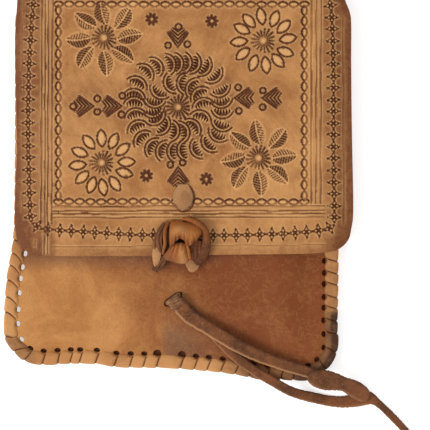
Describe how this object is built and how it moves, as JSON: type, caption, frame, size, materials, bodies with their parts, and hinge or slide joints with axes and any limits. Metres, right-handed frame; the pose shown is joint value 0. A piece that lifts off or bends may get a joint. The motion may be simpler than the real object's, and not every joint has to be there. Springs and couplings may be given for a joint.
{
  "type": "tooled leather flap bag",
  "caption": "Flat leather handbag with a tooled flap, whip-laced panels, a rolled toggle and a knotted closing loop.",
  "frame": {"origin": "under the middle of the bag without its loose loop, on the surface that the back lies on", "axes": "+Z out of the flap, +Y towards the top fold, +X to the right of the bag seen from above"},
  "size_m": [0.2788, 0.3341, 0.0314],
  "materials": {
    "body_leather": "smooth, worn",
    "tooled_leather": "stamped and antiqued",
    "pale_lace": "matt",
    "dark_lace": "matt, suede side out",
    "rolled_leather": "satin",
    "suede": "rough suede"
  },
  "bodies": {
    "bag": {"back_panel": "body_leather", "front_panel": "body_leather", "lace_left": "pale_lace", "lace_bottom": "dark_lace", "lace_right": "pale_lace", "loop_anchor": "suede", "loop_strand_upper": "suede", "loop_strand_lower": "suede", "loop_keeper": "suede"},
    "flap": {"flap": "tooled_leather", "toggle_knot": "rolled_leather", "toggle_thong": "suede"}
  },
  "joints": [
    {"name": "flap_hinge", "type": "hinge", "parent": "bag", "child": "flap", "pos_m": [0, 0.1327, 0.0168], "axis": [-1, 0, 0], "range_deg": [0, 180]}
  ]
}
